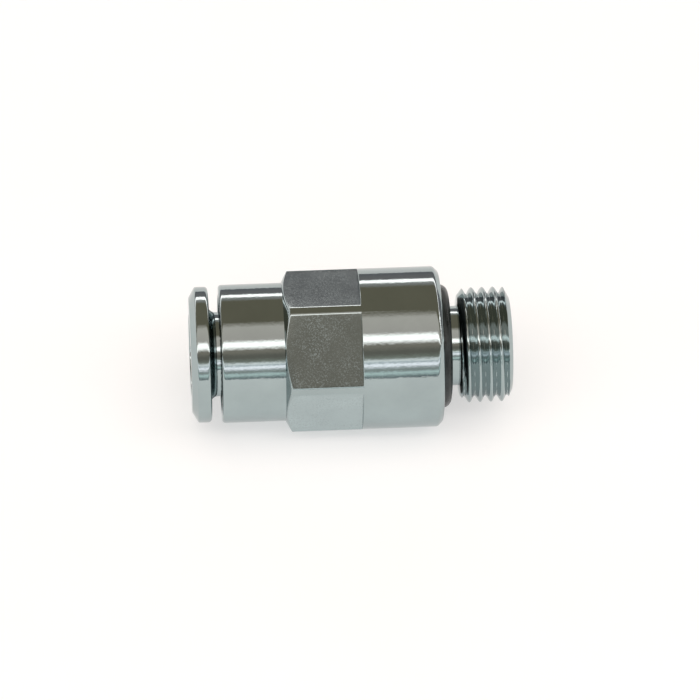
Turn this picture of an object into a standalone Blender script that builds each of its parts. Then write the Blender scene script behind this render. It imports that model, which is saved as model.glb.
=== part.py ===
"""Straight push-to-connect fitting for a 6 mm tube, with a G1/8 parallel male thread.

The axis is X. The port's face, where the thread's flange seats, is x = 0. The thread runs
towards +X and the tube goes in from -X. The fitting lies as on a bench, with one flat of its
hexagon facing -Y and up by FLAT_TILT degrees. Dimensions are in millimetres until MM scales them.
"""

import math

import bmesh
import bpy
from mathutils import Matrix, Vector

MM = 0.001

# gaps between turned parts
FIT = 0.05
RUNNING_FIT = 0.07
LOOSE_FIT = 0.15

# tube side
TUBE_RADIUS = 3.0
TUBE_BORE = TUBE_RADIUS + FIT
TUBE_GRIP = TUBE_RADIUS - FIT
TUBE_STOP = -5.1

# body
BODY_LEFT = -18.5
BARREL_RADIUS = 5.8
BARREL_END = -13.2
BAR_RADIUS = 6.75
HEX_ACROSS_FLATS = 12.0
FLAT_TILT = 43.3
HEX_END = -6.8
HEX_CHAMFER = 0.52
HEX_CHAMFER_DEPTH = 0.92
FLANGE_CHAMFER = 0.45
EDGE_BREAK = 0.2
GUIDE_BORE = 4.95
GUIDE_BORE_END = -13.4
GRIP_BORE = 4.75
GRIP_BORE_END = -9.5
SEAL_BORE = 4.5
SEAL_BORE_END = -7.6
THROUGH_BORE = 2.25

# port side
NECK_RADIUS = 3.35
GLAND_RADIUS = 5.3
GLAND_DEPTH = 0.8
O_RING_SECTION = 0.75
O_RING_RADIUS = 4.45
O_RING_CENTRE = 0.02
THREAD_MAJOR = 4.85
THREAD_MINOR = 4.283
THREAD_PITCH = 0.907
THREAD_HALF_ANGLE = 27.5
THREAD_START = 1.4
THREAD_SHOULDER = 0.1
THREAD_FOOT = 4.2
THREAD_RUN_IN = 0.5
THREAD_END = 5.86
THREAD_CHAMFER = 0.46
THREAD_TIP = 3.98
THREAD_SPARE = 0.02
CREST_AT_TOP = 1.96

# release ring and the parts behind it
RING_LEFT = -21.0
RING_RADIUS = 5.7
RING_THICK = 1.64
STEM_RADIUS = 3.55
GUIDE_LIP = STEM_RADIUS + RUNNING_FIT
GUIDE_LIP_END = -17.3
RETAINING_LIP = 4.0

# inner parts
SHEET = 0.28
GRIP_SLOTS = 8
GRIP_SLOT_WIDTH = 0.45
COLLET_SLOTS = 4
COLLET_SLOT_WIDTH = 0.6
WASHER_THICK = 0.35

CUTTER_OVER = 1.0
BODY_SEGMENTS = 60
INNER_SEGMENTS = 48
THREAD_SEGMENTS = 36
O_RING_SEGMENTS = 12
SMOOTH_BELOW = 25.0


def clear_scene():
    for item in list(bpy.context.scene.objects):
        bpy.data.objects.remove(item, do_unlink=True)


def material(name, colour, metallic, roughness):
    made = bpy.data.materials.new(name)
    made.use_nodes = True
    shader = made.node_tree.nodes["Principled BSDF"]
    shader.inputs["Base Color"].default_value = (*colour, 1.0)
    shader.inputs["Metallic"].default_value = metallic
    shader.inputs["Roughness"].default_value = roughness
    made.diffuse_color = (*colour, 1.0)
    return made


def nickel(name):
    return material(name, (0.66, 0.65, 0.60), 1.0, 0.14)


def steel(name):
    return material(name, (0.58, 0.58, 0.60), 1.0, 0.28)


def rubber(name):
    return material(name, (0.035, 0.04, 0.042), 0.0, 0.55)


def plastic(name):
    return material(name, (0.78, 0.77, 0.72), 0.0, 0.4)


def add_object(name, shape, looks, x=0.0):
    mesh = bpy.data.meshes.new(name)
    bmesh.ops.recalc_face_normals(shape, faces=shape.faces)
    shape.to_mesh(mesh)
    shape.free()
    mesh.shade_smooth()
    mesh.set_sharp_from_angle(angle=math.radians(SMOOTH_BELOW))
    made = bpy.data.objects.new(name, mesh)
    made.location.x = x * MM
    bpy.context.scene.collection.objects.link(made)
    if looks:
        mesh.materials.append(looks)
    return made


def spun(outline, segments):
    """Turn a closed outline of (x, radius) points about the X axis."""
    shape = bmesh.new()
    points = [shape.verts.new((x * MM, 0, r * MM)) for x, r in outline]
    edges = [shape.edges.new((points[i - 1], points[i])) for i in range(len(points))]
    on_axis = [e for e in edges if all(abs(v.co.z) < 1e-9 for v in e.verts)]
    for edge in on_axis:
        edges.remove(edge)
        shape.edges.remove(edge)
    bmesh.ops.spin(
        shape,
        geom=points + edges,
        axis=(1, 0, 0),
        cent=(0, 0, 0),
        angle=math.tau,
        steps=segments,
        use_merge=True,
    )
    bmesh.ops.remove_doubles(shape, verts=shape.verts, dist=1e-7)
    return shape


def turned(name, outline, looks, x=0.0, segments=INNER_SEGMENTS):
    return add_object(name, spun(outline, segments), looks, x)


def arc(x, r, radius, start, end, steps):
    """Points of an arc about (x, r), from one angle to another in degrees."""
    angles = [math.radians(start + (end - start) * i / steps) for i in range(steps + 1)]
    return [(x + radius * math.cos(a), r + radius * math.sin(a)) for a in angles]


def hide(cutter):
    cutter.hide_render = True
    cutter.display_type = "WIRE"


def boolean(target, tool, operation):
    hide(tool)
    modifier = target.modifiers.new(tool.name, "BOOLEAN")
    modifier.operation = operation
    modifier.solver = "EXACT"
    modifier.object = tool


def body_blank():
    """The outside of the bar as it leaves the lathe, solid, up to inside the thread."""
    left = BODY_LEFT
    outline = [
        (left, 0),
        (left, BARREL_RADIUS - EDGE_BREAK),
        (left + EDGE_BREAK, BARREL_RADIUS),
        (BARREL_END, BARREL_RADIUS),
        (BARREL_END, BAR_RADIUS - HEX_CHAMFER_DEPTH),
        (BARREL_END + HEX_CHAMFER, BAR_RADIUS),
        (-FLANGE_CHAMFER, BAR_RADIUS),
        (0, BAR_RADIUS - FLANGE_CHAMFER),
        (0, GLAND_RADIUS),
        (-GLAND_DEPTH, GLAND_RADIUS),
        (-GLAND_DEPTH, NECK_RADIUS),
        (THREAD_START + THREAD_PITCH, NECK_RADIUS),
        (THREAD_START + THREAD_PITCH, 0),
    ]
    return turned("fitting_body", outline, nickel("nickel_plate"), segments=BODY_SEGMENTS)


def hex_cutter():
    """A thick ring with a hexagonal hole, which leaves the six flats."""
    shape = bmesh.new()
    flat = HEX_ACROSS_FLATS / 2
    corner = flat / math.cos(math.radians(30))
    angles = [math.radians(60 * i + FLAT_TILT) for i in range(6)]
    rings = []
    for radius in (corner, 2 * corner):
        for x in (BARREL_END - CUTTER_OVER, HEX_END):
            ring = [
                shape.verts.new((x * MM, radius * MM * math.sin(a), radius * MM * math.cos(a)))
                for a in angles
            ]
            rings.append(ring)
    inner_left, inner_right, outer_left, outer_right = rings
    loops = [inner_left, inner_right, outer_right, outer_left]
    for k, ring in enumerate(loops):
        following = loops[(k + 1) % len(loops)]
        for i in range(6):
            j = (i + 1) % 6
            shape.faces.new((ring[i], ring[j], following[j], following[i]))
    return add_object("hex_cutter", shape, None)


def thread_rod():
    """A solid rod with a right-hand thread, longer than the thread at both ends."""
    flank = (THREAD_MAJOR - THREAD_MINOR) * math.tan(math.radians(THREAD_HALF_ANGLE)) / THREAD_PITCH
    flat = 0.5 - flank
    section = [
        (-flat / 2, THREAD_MAJOR),
        (flat / 2, THREAD_MAJOR),
        (flat / 2 + flank, THREAD_MINOR),
        (1 - flat / 2 - flank, THREAD_MINOR),
    ]
    turns = math.ceil((THREAD_END - THREAD_START) / THREAD_PITCH) + 3
    first = CREST_AT_TOP - 2 * THREAD_PITCH
    shape = bmesh.new()
    rows = []
    for turn in range(turns):
        for share, radius in section:
            row = []
            for i in range(THREAD_SEGMENTS):
                part = i / THREAD_SEGMENTS
                angle = math.tau * part
                x = first + THREAD_PITCH * (turn + share + part)
                y = -radius * math.sin(angle)
                z = radius * math.cos(angle)
                row.append(shape.verts.new((x * MM, y * MM, z * MM)))
            rows.append(row)
    step = len(section)
    last = len(rows) - step

    def corner(k, i):
        return rows[k + step][0] if i == THREAD_SEGMENTS else rows[k][i]

    for k in range(last - 1):
        for i in range(THREAD_SEGMENTS):
            shape.faces.new((corner(k, i), corner(k, i + 1), corner(k + 1, i + 1), corner(k + 1, i)))
    for k, direction in ((0, -1), (last - 1, 1)):
        loop = [corner(k, i) for i in range(THREAD_SEGMENTS + 1)]
        loop += [rows[k + j][0] for j in range(step - 1, 0, -1)]
        centre = Vector((loop[0].co.x + direction * 2 * THREAD_PITCH * MM, 0, 0))
        tip = shape.verts.new(centre)
        for i in range(len(loop)):
            shape.faces.new((loop[i - 1], loop[i], tip))
    used = {v for f in shape.faces for v in f.verts}
    for vert in [v for v in shape.verts if v not in used]:
        shape.verts.remove(vert)
    return add_object("thread_rod", shape, None)


def thread_envelope():
    """The chamfered cylinder that the thread is cut in."""
    rim = THREAD_MAJOR + THREAD_SPARE
    foot = THREAD_START + THREAD_SHOULDER
    outline = [
        (THREAD_START, 0),
        (THREAD_START, NECK_RADIUS - THREAD_SPARE),
        (foot, THREAD_FOOT),
        (foot + THREAD_RUN_IN, rim),
        (THREAD_END - THREAD_CHAMFER, rim),
        (THREAD_END, THREAD_TIP),
        (THREAD_END, 0),
    ]
    return turned("thread_envelope", outline, None, segments=BODY_SEGMENTS)


def bore_cutter():
    """The stepped bore: guide, grip chamber, seal chamber, tube bore and way through."""
    mouth = GUIDE_BORE + EDGE_BREAK + CUTTER_OVER
    end_break = 2 * EDGE_BREAK
    outline = [
        (BODY_LEFT - CUTTER_OVER, 0),
        (BODY_LEFT - CUTTER_OVER, mouth),
        (BODY_LEFT + EDGE_BREAK, GUIDE_BORE),
        (GUIDE_BORE_END, GUIDE_BORE),
        (GUIDE_BORE_END, GRIP_BORE),
        (GRIP_BORE_END, GRIP_BORE),
        (GRIP_BORE_END, SEAL_BORE),
        (SEAL_BORE_END, SEAL_BORE),
        (SEAL_BORE_END, TUBE_BORE),
        (TUBE_STOP, TUBE_BORE),
        (TUBE_STOP, THROUGH_BORE),
        (THREAD_END - end_break, THROUGH_BORE),
        (THREAD_END + CUTTER_OVER, THROUGH_BORE + end_break + CUTTER_OVER),
        (THREAD_END + CUTTER_OVER, 0),
    ]
    return turned("bore_cutter", outline, None, segments=BODY_SEGMENTS)


def fitting_body():
    body = body_blank()
    thread = thread_rod()
    boolean(thread, thread_envelope(), "INTERSECT")
    boolean(body, hex_cutter(), "DIFFERENCE")
    boolean(body, thread, "UNION")
    boolean(body, bore_cutter(), "DIFFERENCE")
    return body


def port_o_ring():
    last = 360 * (1 - 1 / O_RING_SEGMENTS)
    outline = arc(0, O_RING_RADIUS, O_RING_SECTION, 0, last, O_RING_SEGMENTS - 1)
    return turned("port_o_ring", outline, rubber("nitrile_black"), x=O_RING_CENTRE)


def release_ring():
    """Flange, stem, retaining lip and the nose that opens the grip ring."""
    back = RING_THICK
    front_fall = 0.5
    front_chamfer = 0.9
    bore_break = 0.45
    fillet = 0.4
    lip = GUIDE_LIP_END - RING_LEFT + FIT
    lip_width = 0.7
    lip_taper = 0.3
    nose = STEM_RADIUS + 2 * FIT
    nose_end = 7.6
    nose_taper = 0.5
    nose_wall = 0.2
    outline = [
        (0, TUBE_BORE + bore_break),
        (0, RING_RADIUS - front_chamfer),
        (front_fall, RING_RADIUS),
        (back - EDGE_BREAK, RING_RADIUS),
        (back, RING_RADIUS - EDGE_BREAK),
        *arc(back + fillet, STEM_RADIUS + fillet, fillet, 180, 270, 3),
        (lip, STEM_RADIUS),
        (lip, RETAINING_LIP),
        (lip + lip_width, RETAINING_LIP),
        (lip + lip_width + lip_taper, nose),
        (nose_end - nose_taper, nose),
        (nose_end, TUBE_BORE + nose_wall),
        (nose_end, TUBE_BORE),
        (bore_break, TUBE_BORE),
    ]
    return turned("release_ring", outline, nickel("nickel_ring"), x=RING_LEFT)


def guide_sleeve():
    """Bush pressed into the body's mouth, whose lip holds the release ring in."""
    recess = 0.1
    mouth_break = 0.15
    left = BODY_LEFT + recess
    length = GUIDE_BORE_END - FIT - left
    lip = GUIDE_LIP_END - left
    rim = GUIDE_BORE - FIT
    bore = RETAINING_LIP + LOOSE_FIT
    outline = [
        (0, GUIDE_LIP + mouth_break),
        (0, rim - EDGE_BREAK / 2),
        (EDGE_BREAK / 2, rim),
        (length, rim),
        (length, bore),
        (lip, bore),
        (lip, GUIDE_LIP),
        (mouth_break, GUIDE_LIP),
    ]
    return turned("guide_sleeve", outline, nickel("nickel_guide"), x=left)


def slot_bar(name, left, right, reach, width):
    """A bar through the axis."""
    shape = bmesh.new()
    size = Matrix.Diagonal(((right - left) * MM, 2 * reach * MM, width * MM, 1))
    centre = Matrix.Translation(((left + right) / 2 * MM, 0, 0))
    bmesh.ops.create_cube(shape, size=1.0, matrix=centre @ size)
    return add_object(name, shape, None)


def cut_slots(piece, name, left, right, reach, width, slots):
    """Each crossing bar cuts two opposite slots."""
    bars = slots // 2
    for i in range(bars):
        bar = slot_bar(f"{name}_{i + 1}", left, right, reach, width)
        bar.rotation_euler.x = math.pi * i / bars
        bar.location.x = piece.location.x
        boolean(piece, bar, "DIFFERENCE")


def grip_ring():
    """Sheet steel ring whose slotted teeth lean in and away from the mouth."""
    left = GUIDE_BORE_END + FIT
    rim = GRIP_BORE - 2 * FIT
    band = 0.9
    knee = 0.37
    tip = 1.37
    tip_width = 0.3
    heel = 0.05
    uncut_rim = 1.6 * SHEET
    outline = [
        (0, rim),
        (band, rim),
        (band, rim - SHEET),
        (knee, rim - SHEET),
        (tip, TUBE_GRIP),
        (tip - tip_width, TUBE_GRIP),
        (0, rim - SHEET + heel),
    ]
    ring = turned("grip_ring", outline, steel("stainless_sheet"), x=left)
    ends = (-CUTTER_OVER, tip + CUTTER_OVER)
    cut_slots(ring, "grip_slot", *ends, rim - uncut_rim, GRIP_SLOT_WIDTH, GRIP_SLOTS)
    return ring


def collet():
    """Ring behind the teeth, slotted from its cone end."""
    room_for_teeth = 1.05
    left = GUIDE_BORE_END + room_for_teeth
    length = GRIP_BORE_END - WASHER_THICK - 2 * FIT - left
    rim = GRIP_BORE - RUNNING_FIT
    bore = TUBE_BORE + RUNNING_FIT
    rim_break = 0.1
    face = 0.78
    cone = 0.45
    slot_depth = 0.6 * length
    outline = [
        (0, rim - face),
        (0, rim - rim_break),
        (rim_break, rim),
        (length, rim),
        (length, bore),
        (cone, bore),
    ]
    ring = turned("collet", outline, plastic("acetal_white"), x=left)
    reach = rim + CUTTER_OVER
    ends = (-CUTTER_OVER, slot_depth)
    cut_slots(ring, "collet_slot", *ends, reach, COLLET_SLOT_WIDTH, COLLET_SLOTS)
    return ring


def seal_washer():
    left = GRIP_BORE_END - WASHER_THICK - FIT
    rim = GRIP_BORE - RUNNING_FIT
    bore = TUBE_BORE + LOOSE_FIT
    outline = [(0, bore), (0, rim), (WASHER_THICK, rim), (WASHER_THICK, bore)]
    return turned("seal_washer", outline, nickel("nickel_washer"), x=left)


def tube_seal():
    """Lip seal: a grooved back and a lip that bears on the tube."""
    left = GRIP_BORE_END + FIT
    length = SEAL_BORE_END - 2 * FIT - left
    rim = SEAL_BORE - FIT
    lip_height = 0.4
    root = TUBE_GRIP + lip_height
    groove_inner = root + 0.35
    groove_width = 0.3
    groove_depth = 0.3
    lip_slope = 0.5
    back_slope = 0.55
    outline = [
        (0, root),
        (0, groove_inner),
        (groove_depth, groove_inner + groove_width / 2),
        (0, groove_inner + groove_width),
        (0, rim),
        (length, rim),
        (length, root),
        (length - lip_slope, TUBE_GRIP),
        (back_slope, TUBE_GRIP),
    ]
    return turned("tube_seal", outline, rubber("nitrile_seal"), x=left)


def joint_empty(name, x, parent=None):
    made = bpy.data.objects.new(name, None)
    made.location.x = x * MM
    made.empty_display_size = 2 * MM
    bpy.context.scene.collection.objects.link(made)
    hang(made, parent)
    return made


def hang(child, parent):
    """Parent without moving the child."""
    if parent:
        child.parent = parent
        child.matrix_parent_inverse = Matrix.Translation(-place(parent))


def place(item):
    """World place of an unrotated object and its parents."""
    found = Vector(item.location)
    if item.parent:
        found += item.matrix_parent_inverse.translation + place(item.parent)
    return found


def build():
    clear_scene()
    body = fitting_body()
    for make in (port_o_ring, guide_sleeve, tube_seal, seal_washer):
        hang(make(), body)
    grip_axis = joint_empty("grip_axis", GUIDE_BORE_END, body)
    for make in (grip_ring, collet):
        hang(make(), grip_axis)
    slide = joint_empty("release_slide", RING_LEFT, grip_axis)
    hang(release_ring(), slide)


build()
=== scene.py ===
"""Push-to-connect fitting on a pale bench: fine surfaces, finishes, studio and camera."""

import math

import bmesh
import bpy
from mathutils import Matrix, Vector


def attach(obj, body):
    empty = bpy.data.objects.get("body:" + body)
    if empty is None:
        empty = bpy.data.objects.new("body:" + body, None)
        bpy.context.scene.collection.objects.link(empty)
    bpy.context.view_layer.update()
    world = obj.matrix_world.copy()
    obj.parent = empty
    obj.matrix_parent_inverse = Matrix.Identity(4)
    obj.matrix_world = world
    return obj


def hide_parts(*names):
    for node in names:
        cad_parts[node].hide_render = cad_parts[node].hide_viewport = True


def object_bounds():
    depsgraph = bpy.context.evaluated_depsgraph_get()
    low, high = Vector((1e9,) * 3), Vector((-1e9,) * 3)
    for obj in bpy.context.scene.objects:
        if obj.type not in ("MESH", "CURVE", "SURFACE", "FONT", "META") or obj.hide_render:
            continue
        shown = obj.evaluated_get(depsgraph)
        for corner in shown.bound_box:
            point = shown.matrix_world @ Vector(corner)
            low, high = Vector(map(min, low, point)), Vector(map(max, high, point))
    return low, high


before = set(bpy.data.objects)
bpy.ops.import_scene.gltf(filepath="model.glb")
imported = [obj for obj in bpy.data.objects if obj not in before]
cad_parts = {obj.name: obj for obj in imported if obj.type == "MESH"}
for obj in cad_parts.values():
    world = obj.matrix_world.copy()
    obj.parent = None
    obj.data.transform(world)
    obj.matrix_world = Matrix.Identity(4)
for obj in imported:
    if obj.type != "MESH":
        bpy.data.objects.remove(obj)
CAD_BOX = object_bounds()

MM = 0.001

# Sizes of the fitting in millimetres, along its axis X and as radii about it.
BODY_LEFT = -18.5
BARREL_RADIUS = 5.8
BARREL_END = -13.2
BAR_RADIUS = 6.75
FLAT_RADIUS = 6.0
FLAT_TILT = 43.3
HEX_SIDE = math.radians(60)
HEX_END = -6.8
HEX_CHAMFER = 0.52
FLANGE_CHAMFER = 0.45
GUIDE_BORE = 4.95
GUIDE_BORE_END = -13.4
GRIP_BORE = 4.75
GRIP_BORE_END = -9.5
SEAL_BORE = 4.5
SEAL_BORE_END = -7.6
TUBE_BORE = 3.05
TUBE_STOP = -5.1
THROUGH_BORE = 2.25
NECK_RADIUS = 3.35
GLAND_RADIUS = 5.3
GLAND_DEPTH = 0.8
O_RING_SECTION = 0.75
O_RING_RADIUS = 4.45
O_RING_CENTRE = 0.02
THREAD_MAJOR = 4.85
THREAD_MINOR = 4.283
THREAD_PITCH = 0.907
THREAD_START = 1.4
THREAD_SHOULDER = 0.1
THREAD_FOOT = 4.2
THREAD_RUN_IN = 0.5
THREAD_END = 5.86
THREAD_CHAMFER = 0.46
THREAD_TIP = 3.98
CREST_AT_TOP = 1.96
RING_LEFT = -21.0
RING_RADIUS = 5.7
RING_THICK = 1.64
STEM_RADIUS = 3.55
RETAINING_LIP = 4.0
LIP_LEFT = -17.25

CAMERA_RISE = 44.0
CAMERA_DISTANCE = 470.0
CAMERA_FOOT = -28.8
CAMERA_ROLL = -0.4
CAMERA_DROP = 0.063
CAMERA_LENS = 288.24

PLATE = (0.366, 0.433, 0.44)
ROOM_LIGHT = 1.22


# ---------------------------------------------------------------- outlines


def rounded(outline, steps=4):
    """Outline points (x, r, fillet), each corner with a fillet replaced by an arc."""
    found = []
    count = len(outline)
    for i, (x, r, fillet) in enumerate(outline):
        here = Vector((x, r))
        if fillet == 0:
            found.append(here)
            continue
        before = (Vector(outline[i - 1][:2]) - here).normalized()
        after = (Vector(outline[(i + 1) % count][:2]) - here).normalized()
        half = before.angle(after) / 2
        inset = fillet / math.tan(half)
        centre = here + (before + after).normalized() * (fillet / math.sin(half))
        start = here + before * inset - centre
        swing = start.angle_signed(here + after * inset - centre)
        for k in range(steps + 1):
            turn = Matrix.Rotation(-swing * k / steps, 2)
            found.append(centre + turn @ start)
    return [(p.x, p.y) for p in found]


def supported(points, longest=0.5, edge=0.04):
    """Add a point near both ends of each long straight, so that shading stays on the corners."""
    found = []
    for i, here in enumerate(points):
        there = points[(i + 1) % len(points)]
        found.append(here)
        span = math.dist(here, there)
        if span > longest:
            for share in (edge / span, 1 - edge / span):
                found.append(tuple(a + (b - a) * share for a, b in zip(here, there)))
    return found


# ---------------------------------------------------------------- meshes


def finish_mesh(name, shape, sharp=32):
    mesh = bpy.data.meshes.new(name)
    bmesh.ops.recalc_face_normals(shape, faces=shape.faces)
    shape.to_mesh(mesh)
    shape.free()
    mesh.shade_smooth()
    mesh.set_sharp_from_angle(angle=math.radians(sharp))
    made = bpy.data.objects.new(name, mesh)
    bpy.context.scene.collection.objects.link(made)
    return made


def lathe(rings, angles):
    """Skin closed loops of rings: each ring holds one (x, r) for each angle about the axis.

    Angle 0 points along -Y and 90 degrees points up.
    """
    shape = bmesh.new()
    rows = []
    for ring in rings:
        row = []
        for (x, r), angle in zip(ring, angles):
            y = -r * math.cos(angle)
            z = r * math.sin(angle)
            row.append(shape.verts.new((x * MM, y * MM, z * MM)))
        rows.append(row)
    count = len(angles)
    for i, row in enumerate(rows):
        following = rows[(i + 1) % len(rows)]
        for k in range(count):
            j = (k + 1) % count
            shape.faces.new((row[k], row[j], following[j], following[k]))
    return shape


def turned(name, points, segments=192):
    angles = [math.tau * i / segments for i in range(segments)]
    rings = [[point] * segments for point in points]
    return finish_mesh(name, lathe(rings, angles))


# ---------------------------------------------------------------- the body


def smooth_min(a, b, blend):
    h = max(blend - abs(a - b), 0) / blend
    return min(a, b) - h * h * blend / 4


def hex_columns():
    """Angles about the axis, closer together at the hexagon's edges."""
    near_edge = [26, 26.8, 27.15, 27.4, 27.8, 28.8]
    half = list(range(0, 26, 2)) + near_edge
    offsets = [-30] + [-a for a in reversed(half) if a] + half
    angles = []
    for side in range(6):
        angles += [math.radians(FLAT_TILT + 60 * side + a) for a in offsets]
    return angles


def from_flat(angle):
    """Angle from the middle of the nearest flat."""
    return (angle - math.radians(FLAT_TILT) + HEX_SIDE / 2) % HEX_SIDE - HEX_SIDE / 2


def hex_radius(angle):
    """Radius of the milled hexagon with its corners turned down to the bar."""
    corner_blend = 0.04
    return smooth_min(FLAT_RADIUS / math.cos(from_flat(angle)), BAR_RADIUS, corner_blend)


def hex_rings(angles):
    """Chamfer, flats and the shoulder where the cutter stopped."""
    slope = HEX_CHAMFER / (BAR_RADIUS - BARREL_RADIUS)
    radii = [hex_radius(a) for a in angles]
    meets = [BARREL_END + slope * (r - BARREL_RADIUS) for r in radii]
    soft = 0.035
    rings = [[(BARREL_END, BARREL_RADIUS)] * len(angles)]
    for share in (0.1, 0.5):
        ring = []
        for m, r in zip(meets, radii):
            x = BARREL_END + share * (m - soft - BARREL_END)
            ring.append((x, BARREL_RADIUS + share * (r - BARREL_RADIUS - soft)))
        rings.append(ring)
    rings.append([(m - soft * slope, r - soft) for m, r in zip(meets, radii)])
    rings.append([(m + soft * 0.3, r - soft * 0.25) for m, r in zip(meets, radii)])
    rings.append([(m + soft * 1.5, r) for m, r in zip(meets, radii)])
    near_chamfer = BARREL_END + 1.0
    near_shoulder = HEX_END - 1.5
    edge = 0.05
    for x in (near_chamfer, near_shoulder, HEX_END - 0.06, HEX_END):
        rings.append([(x, r) for r in radii])
    for share in (0.0, 0.35, 1.0):
        drop = edge * (1 - share) ** 2
        rings.append([(HEX_END + edge * share + 0.001, max(r, BAR_RADIUS - drop)) for r in radii])
    return rings


def thread_radius(x, angle):
    """Rounded right-hand thread: the crest lies at CREST_AT_TOP straight above the axis."""
    turn = (math.pi / 2 - angle) / math.tau
    along = ((x - CREST_AT_TOP) / THREAD_PITCH - turn) % 1.0
    away = min(along, 1 - along)
    sharp_depth = 0.9605 * THREAD_PITCH
    crest_width = 0.04
    crest_blend = 0.26
    root_blend = 0.2
    middle = (THREAD_MAJOR + THREAD_MINOR) / 2 + crest_width
    flank = middle + sharp_depth * (0.5 - 2 * away)
    crest = smooth_min(flank, THREAD_MAJOR + 0.002, crest_blend)
    return -smooth_min(-crest, -THREAD_MINOR, root_blend)


def thread_rings(angles):
    """The thread's rings, trimmed by its step and run-in at the neck and its chamfer at the tip."""
    rows_each_turn = 22
    trim_blend = 0.05
    start = THREAD_START
    count = round((THREAD_END - start) / THREAD_PITCH * rows_each_turn)
    shoulder = (THREAD_FOOT - NECK_RADIUS) / THREAD_SHOULDER
    run_in = (THREAD_MAJOR - THREAD_FOOT) / THREAD_RUN_IN
    run_out = (THREAD_MAJOR - THREAD_TIP) / THREAD_CHAMFER
    rings = []
    for i in range(count + 1):
        x = start + (THREAD_END - start) * i / count
        step = NECK_RADIUS + shoulder * (x - start)
        lead = THREAD_FOOT + run_in * (x - start - THREAD_SHOULDER)
        tail = THREAD_TIP + run_out * (THREAD_END - x)
        trim = min(step, lead, tail)
        rings.append([(x, smooth_min(thread_radius(x, a), trim, trim_blend)) for a in angles])
    return rings


def fitting_body():
    angles = hex_columns()

    def even(points):
        return [[point] * len(angles) for point in points]

    barrel = rounded(
        [
            (BODY_LEFT, GUIDE_BORE, 0.12),
            (BODY_LEFT, BARREL_RADIUS, 0.26),
            (BARREL_END, BARREL_RADIUS, 0),
        ],
        5,
    )[:-1]
    before_hexagon = (BARREL_END - 0.04, BARREL_RADIUS)
    barrel = supported(barrel + [before_hexagon])[: len(barrel) + 3]
    flange = rounded(
        [
            (HEX_END + 0.06, BAR_RADIUS, 0),
            (-FLANGE_CHAMFER, BAR_RADIUS, 0.4),
            (0, BAR_RADIUS - FLANGE_CHAMFER, 0.35),
            (0, GLAND_RADIUS, 0.06),
            (-GLAND_DEPTH, GLAND_RADIUS, 0),
            (-GLAND_DEPTH, NECK_RADIUS, 0.1),
            (THREAD_START, NECK_RADIUS, 0),
        ],
        5,
    )[1:-1]
    bore = rounded(
        [
            (THREAD_END, THREAD_TIP, 0.08),
            (THREAD_END, THROUGH_BORE + 0.35, 0.05),
            (THREAD_END - 0.35, THROUGH_BORE, 0),
            (TUBE_STOP, THROUGH_BORE, 0.05),
            (TUBE_STOP, TUBE_BORE, 0),
            (SEAL_BORE_END, TUBE_BORE, 0.1),
            (SEAL_BORE_END, SEAL_BORE, 0),
            (GRIP_BORE_END, SEAL_BORE, 0),
            (GRIP_BORE_END, GRIP_BORE, 0),
            (GUIDE_BORE_END, GRIP_BORE, 0),
            (GUIDE_BORE_END, GUIDE_BORE, 0),
            (BODY_LEFT, GUIDE_BORE, 0),
        ],
        3,
    )
    # The thread's rings already reach the tip's corner, and the barrel starts at the mouth's.
    bore = bore[4:-1]
    rings = even(barrel)
    rings += hex_rings(angles)
    rings += even(supported(flange)[:-2])
    rings += thread_rings(angles)
    rings += even(bore)
    shape = lathe(rings, angles)
    mark_flats(shape)
    return finish_mesh("body_surface", shape)


def mark_flats(shape):
    """Give the milled flats the second material slot."""
    half_flat = math.radians(27.3)
    near = 0.02
    for face in shape.faces:
        centre = face.calc_center_median() / MM
        if not BARREL_END < centre.x < HEX_END:
            continue
        offset = from_flat(math.atan2(centre.z, -centre.y))
        height = math.hypot(centre.y, centre.z) * math.cos(offset)
        if abs(height - FLAT_RADIUS) < near and abs(offset) < half_flat:
            face.material_index = 1


# ---------------------------------------------------------------- the other seen pieces


def release_ring():
    """Flange with a broad front chamfer, hollow neck, lip and nose."""
    back = RING_LEFT + RING_THICK
    front_chamfer = 0.9
    front_fall = 0.52
    bore_break = 0.4
    lip_width = 0.7
    lip_taper = 0.3
    nose = STEM_RADIUS + 0.1
    nose_end = RING_LEFT + 7.6
    nose_taper = 0.5
    nose_wall = 0.2
    outline = [
        (RING_LEFT, TUBE_BORE + bore_break, 0.12),
        (RING_LEFT, RING_RADIUS - front_chamfer, 0.22),
        (RING_LEFT + front_fall, RING_RADIUS, 0.2),
        (back, RING_RADIUS, 0.3),
        (back, STEM_RADIUS, 0.55),
        (LIP_LEFT, STEM_RADIUS, 0),
        (LIP_LEFT, RETAINING_LIP, 0),
        (LIP_LEFT + lip_width, RETAINING_LIP, 0),
        (LIP_LEFT + lip_width + lip_taper, nose, 0),
        (nose_end - nose_taper, nose, 0.1),
        (nose_end, TUBE_BORE + nose_wall, 0),
        (nose_end, TUBE_BORE, 0),
        (RING_LEFT + 1.5 * bore_break, TUBE_BORE, 0.3),
    ]
    return turned("ring_surface", supported(rounded(outline, 6)))


def port_o_ring():
    """Smooth moulded ring, a hair inside its nominal section."""
    points = []
    steps = 40
    radius = O_RING_SECTION - 0.006
    for i in range(steps):
        angle = math.tau * i / steps
        points.append(
            (O_RING_CENTRE + radius * math.sin(angle), O_RING_RADIUS + radius * math.cos(angle))
        )
    return turned("o_ring_surface", points)


# ---------------------------------------------------------------- finishes


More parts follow.
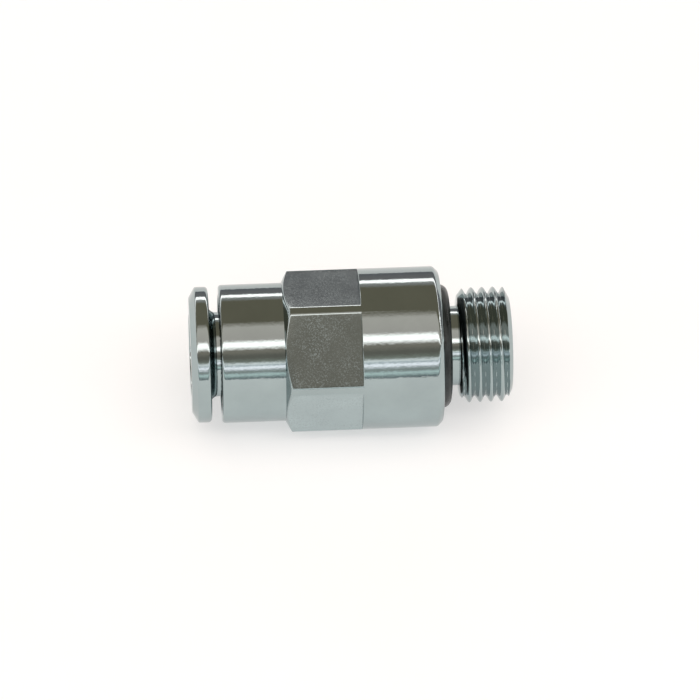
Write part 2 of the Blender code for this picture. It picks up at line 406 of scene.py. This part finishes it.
class Shader:
    """Small helper that wires a material's nodes."""

    def __init__(self, name):
        self.material = bpy.data.materials.new(name)
        self.material.use_nodes = True
        self.tree = self.material.node_tree
        self.surface = self.tree.nodes["Principled BSDF"]
        self.place = self.node("ShaderNodeTexCoord").outputs["Object"]

    def node(self, kind, **values):
        made = self.tree.nodes.new(kind)
        for key, value in values.items():
            setattr(made, key, value)
        return made

    def link(self, source, target):
        self.tree.links.new(source, target)

    def stretched(self, scale):
        made = self.node("ShaderNodeMapping")
        made.inputs["Scale"].default_value = scale
        self.link(self.place, made.inputs["Vector"])
        return made.outputs["Vector"]

    def noise(self, scale, detail=3.0, rough=0.55, vector=None, warp=0.0):
        made = self.node("ShaderNodeTexNoise")
        made.inputs["Scale"].default_value = scale
        made.inputs["Detail"].default_value = detail
        made.inputs["Roughness"].default_value = rough
        made.inputs["Distortion"].default_value = warp
        self.link(vector or self.place, made.inputs["Vector"])
        return made.outputs["Fac"]

    def spread(self, value, low, high, to_low, to_high):
        made = self.node("ShaderNodeMapRange")
        for key, number in (
            ("From Min", low),
            ("From Max", high),
            ("To Min", to_low),
            ("To Max", to_high),
        ):
            made.inputs[key].default_value = number
        self.link(value, made.inputs["Value"])
        return made.outputs["Result"]

    def tint(self, value, stops):
        made = self.node("ShaderNodeValToRGB")
        ramp = made.color_ramp
        for i, (position, colour) in enumerate(stops):
            stop = ramp.elements[i] if i < 2 else ramp.elements.new(position)
            stop.position = position
            stop.color = (*colour, 1)
        self.link(value, made.inputs["Fac"])
        return made.outputs["Color"]

    def math(self, operation, a, b):
        made = self.node("ShaderNodeMath", operation=operation)
        for socket, value in zip(made.inputs, (a, b)):
            if isinstance(value, (int, float)):
                socket.default_value = value
            else:
                self.link(value, socket)
        return made.outputs["Value"]

    def bump(self, height, strength, distance, under=None):
        made = self.node("ShaderNodeBump")
        made.inputs["Strength"].default_value = strength
        made.inputs["Distance"].default_value = distance * MM
        self.link(height, made.inputs["Height"])
        if under:
            self.link(under, made.inputs["Normal"])
        return made.outputs["Normal"]

    def put(self, **sockets):
        for key, value in sockets.items():
            socket = self.surface.inputs[key.replace("_", " ")]
            if isinstance(value, bpy.types.NodeSocket):
                self.link(value, socket)
            elif isinstance(value, tuple):
                socket.default_value = (*value, 1)
            else:
                socket.default_value = value
        return self.material


def bright_nickel():
    """Turned and plated: mirror bright, with fine turning lines, ripple and tiny pits."""
    s = Shader("bright_nickel_plate")
    lines = s.noise(1.0, 2.0, 0.6, s.stretched((9000, 300, 300)))
    ripple = s.noise(1100, 3.0, 0.6)
    pits = s.noise(3600, 2.0, 0.6)
    cloud = s.noise(260, 4.0, 0.6)
    colour = s.tint(
        cloud, [(0.3, tuple(c * 0.94 for c in PLATE)), (0.75, tuple(c * 1.05 for c in PLATE))]
    )
    rough = s.spread(s.math("ADD", lines, cloud), 0.6, 1.4, 0.04, 0.085)
    normal = s.bump(lines, 0.10, 0.004)
    normal = s.bump(ripple, 0.22, 0.013, normal)
    normal = s.bump(pits, 0.34, 0.012, normal)
    return s.put(
        Base_Color=colour,
        Metallic=1.0,
        Roughness=rough,
        Normal=normal,
        Specular_Tint=(0.85, 0.85, 0.85),
    )


def milled_nickel():
    """The hexagon's flats: satin, blotched, with clusters of pale specks in the plate."""
    s = Shader("satin_nickel_flats")
    speckle = s.noise(8200, 0.0, 0.5)
    cluster = s.noise(420, 3.0, 0.6, warp=0.3)
    stain = s.noise(340, 4.0, 0.6, warp=0.3)
    drawn = s.noise(1.0, 2.0, 0.5, s.stretched((150, 2600, 2600)))
    colour = s.tint(
        stain, [(0.3, tuple(c * 0.95 for c in PLATE)), (0.7, tuple(c * 1.08 for c in PLATE))]
    )
    specks = s.spread(speckle, 0.46, 0.74, 0.0, 1.0)
    crowd = s.spread(cluster, 0.4, 0.6, 0.2, 1.0)
    film = s.math("MULTIPLY", specks, crowd)
    haze = s.spread(stain, 0.42, 0.75, 0.0, 0.1)
    metal = s.spread(s.math("ADD", film, haze), 0.0, 1.1, 1.0, 0.72)
    rough = s.spread(s.math("ADD", speckle, stain), 0.7, 1.3, 0.06, 0.13)
    normal = s.bump(speckle, 0.1, 0.003)
    normal = s.bump(drawn, 0.05, 0.003, normal)
    return s.put(Base_Color=colour, Metallic=metal, Roughness=rough, Normal=normal)


def black_rubber(name):
    """Nitrile rubber: dark, with streaks of soft sheen along the ring and dusty patches."""
    s = Shader(name)
    streak = s.noise(1.0, 3.0, 0.6, s.stretched((5200, 520, 520)))
    dust = s.noise(900, 5.0, 0.65)
    grain = s.noise(6000, 2.0, 0.5)
    both = s.math("MULTIPLY", s.math("ADD", streak, dust), 0.5)
    colour = s.tint(both, [(0.4, (0.006, 0.009, 0.009)), (0.64, (0.032, 0.04, 0.041))])
    rough = s.spread(streak, 0.3, 0.7, 0.2, 0.45)
    normal = s.bump(grain, 0.3, 0.01)
    normal = s.bump(streak, 0.35, 0.012, normal)
    return s.put(Base_Color=colour, Roughness=rough, Normal=normal, Specular_IOR_Level=0.32)


def stainless():
    """Stamped stainless sheet with fine rolling lines."""
    s = Shader("stamped_stainless")
    grain = s.noise(1.0, 3.0, 0.6, s.stretched((600, 6000, 6000)))
    colour = s.tint(grain, [(0.3, (0.50, 0.50, 0.51)), (0.7, (0.64, 0.64, 0.65))])
    rough = s.spread(grain, 0.3, 0.7, 0.2, 0.34)
    return s.put(
        Base_Color=colour, Metallic=1.0, Roughness=rough, Normal=s.bump(grain, 0.2, 0.01)
    )


def moulded_plastic():
    """Off-white acetal with a faint moulded texture."""
    s = Shader("white_acetal")
    cloud = s.noise(400, 4.0, 0.6)
    grain = s.noise(4000, 2.0, 0.5)
    colour = s.tint(cloud, [(0.3, (0.74, 0.73, 0.68)), (0.7, (0.80, 0.79, 0.75))])
    rough = s.spread(grain, 0.3, 0.7, 0.35, 0.5)
    return s.put(Base_Color=colour, Roughness=rough, Normal=s.bump(grain, 0.2, 0.01))


def bench():
    """Plain white light table."""
    s = Shader("pale_bench")
    grain = s.noise(40, 3.0, 0.5)
    colour = s.tint(grain, [(0.3, (0.55, 0.55, 0.55)), (0.7, (0.57, 0.57, 0.57))])
    return s.put(
        Base_Color=colour,
        Roughness=0.9,
        Specular_IOR_Level=0.1,
        Emission_Color=(1.0, 1.0, 1.0),
        Emission_Strength=0.47,
    )


# ---------------------------------------------------------------- studio


def room_zones():
    """Walls and strip lights, by angle from the front horizon over the top to the back.

    Each is (name, first degree, last degree, light). The room blends between them, and the
    last one reaches down to the back horizon.
    """
    return [
        ("front_shade", 0, 2, (0.27, 0.30, 0.30)),
        ("front_sill", 7.2, 8.2, (0.77, 0.89, 0.85)),
        ("front_gap", 10.8, 13, (0.38, 0.40, 0.38)),
        ("front_rail", 15.6, 15.6, (0.70, 0.69, 0.69)),
        ("front_tube", 18.8, 20.2, (1.64, 1.53, 1.59)),
        ("front_slot", 22.8, 22.8, (0.61, 0.64, 0.66)),
        ("front_screen", 25.2, 25.8, (1.21, 1.17, 1.15)),
        ("front_skirting", 29.2, 29.2, (0.32, 0.32, 0.27)),
        ("front_wall", 35.5, 39, (0.20, 0.18, 0.15)),
        ("front_cornice", 46, 48.5, (0.33, 0.28, 0.23)),
        ("high_soft_strip", 55.5, 59.8, (2.5, 2.25, 2.15)),
        ("ceiling", 65.5, 70, (0.70, 0.60, 0.54)),
        ("ceiling_end", 84.5, 88, (0.74, 0.64, 0.57)),
        ("back_ceiling", 96.5, 141.5, (0.20, 0.17, 0.12)),
        ("back_glow", 146.5, 150, (0.36, 0.33, 0.31)),
        ("back_soft_strip", 154, 157, (2.9, 2.6, 2.5)),
        ("back_wall", 160.6, 168, (0.23, 0.21, 0.21)),
        ("back_shade", 175, 175, (0.20, 0.19, 0.20)),
    ]


def studio():
    world = bpy.data.worlds.new("studio")
    bpy.context.scene.world = world
    world.use_nodes = True
    tree = world.node_tree
    tree.nodes.clear()
    place = tree.nodes.new("ShaderNodeTexCoord")
    split = tree.nodes.new("ShaderNodeSeparateXYZ")
    tree.links.new(place.outputs["Generated"], split.inputs["Vector"])
    front = tree.nodes.new("ShaderNodeMath")
    front.operation = "MULTIPLY"
    front.inputs[1].default_value = -1.0
    tree.links.new(split.outputs["Y"], front.inputs[0])
    angle = tree.nodes.new("ShaderNodeMath")
    angle.operation = "ARCTAN2"
    tree.links.new(split.outputs["Z"], angle.inputs[0])
    tree.links.new(front.outputs["Value"], angle.inputs[1])
    share = tree.nodes.new("ShaderNodeMath")
    share.operation = "DIVIDE"
    share.inputs[1].default_value = math.pi
    tree.links.new(angle.outputs["Value"], share.inputs[0])
    bands = tree.nodes.new("ShaderNodeValToRGB")
    tree.links.new(share.outputs["Value"], bands.inputs["Fac"])
    ramp = bands.color_ramp
    ramp.elements.remove(ramp.elements[1])
    for _, first, last, light in room_zones():
        for degrees in sorted({first, last}):
            stop = ramp.elements.new(degrees / 180) if degrees else ramp.elements[0]
            stop.position = degrees / 180
            stop.color = (*light, 1)
    background = tree.nodes.new("ShaderNodeBackground")
    tree.links.new(bands.outputs["Color"], background.inputs["Color"])
    background.inputs["Strength"].default_value = ROOM_LIGHT
    output = tree.nodes.new("ShaderNodeOutputWorld")
    tree.links.new(background.outputs["Background"], output.inputs["Surface"])


def bench_top():
    clearance = 0.02 * MM
    half_width = 3.0
    shape = bmesh.new()
    bmesh.ops.create_grid(shape, x_segments=24, y_segments=24, size=half_width)
    floor = finish_mesh("bench_top", shape)
    floor.location.z = CAD_BOX[0][2] - clearance
    floor.data.materials.append(bench())


def soft_light():
    """A wide soft box overhead. It fills the bench and the rubber, and isn't mirrored."""
    data = bpy.data.lights.new("soft_box", "AREA")
    data.shape = "DISK"
    data.size = 1.6
    data.energy = 4.4
    data.color = (0.97, 1.0, 1.0)
    lamp = bpy.data.objects.new("soft_box", data)
    lamp.location = (-0.008, -0.3, 0.76)
    lamp.visible_glossy = False
    aim(lamp, Vector((-0.008, 0, 0)))
    bpy.context.scene.collection.objects.link(lamp)


def aim(item, target, roll=0.0):
    """Point an object's -Z at target, X level, then roll it about its line of sight."""
    sight = (target - item.location).normalized()
    right = sight.cross(Vector((0, 0, 1)))
    right = right.normalized() if right.length > 1e-6 else Vector((1, 0, 0))
    up = right.cross(sight)
    turn = Matrix((right, up, -sight)).transposed()
    item.matrix_world = (
        Matrix.Translation(item.location)
        @ turn.to_4x4()
        @ Matrix.Rotation(math.radians(roll), 4, "Z")
    )


def camera():
    data = bpy.data.cameras.new("camera")
    data.lens = CAMERA_LENS
    data.sensor_width = 36
    data.clip_start = 0.01
    eye = bpy.data.objects.new("camera", data)
    rise = math.radians(CAMERA_RISE)
    eye.location = Vector(
        (CAMERA_FOOT, -CAMERA_DISTANCE * math.cos(rise), CAMERA_DISTANCE * math.sin(rise))
    ) * MM
    middle = (RING_LEFT + THREAD_END) / 2
    drop = Vector((0, math.sin(rise), math.cos(rise))) * CAMERA_DROP
    aim(eye, (Vector((middle, 0, 0)) - drop) * MM, -CAMERA_ROLL)
    bpy.context.scene.collection.objects.link(eye)
    bpy.context.scene.camera = eye


# ---------------------------------------------------------------- assembly


def dress(piece, *materials):
    for material in materials:
        piece.data.materials.append(material)


def assemble():
    bright = bright_nickel()
    body = fitting_body()
    dress(body, bright, milled_nickel())
    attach(body, "fitting")
    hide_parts("fitting_body")
    o_ring = port_o_ring()
    dress(o_ring, black_rubber("nitrile_o_ring"))
    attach(o_ring, "fitting")
    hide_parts("port_o_ring")
    ring = release_ring()
    dress(ring, bright)
    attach(ring, "release")
    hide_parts("release_ring")
    inner = {
        "guide_sleeve": bright,
        "seal_washer": bright,
        "grip_ring": stainless(),
        "collet": moulded_plastic(),
        "tube_seal": black_rubber("nitrile_seal"),
    }
    for name, material in inner.items():
        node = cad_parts[name]
        for slot in node.material_slots:
            slot.material = material


bpy.context.scene.view_settings.view_transform = "Standard"
camera()
studio()
bench_top()
soft_light()
assemble()
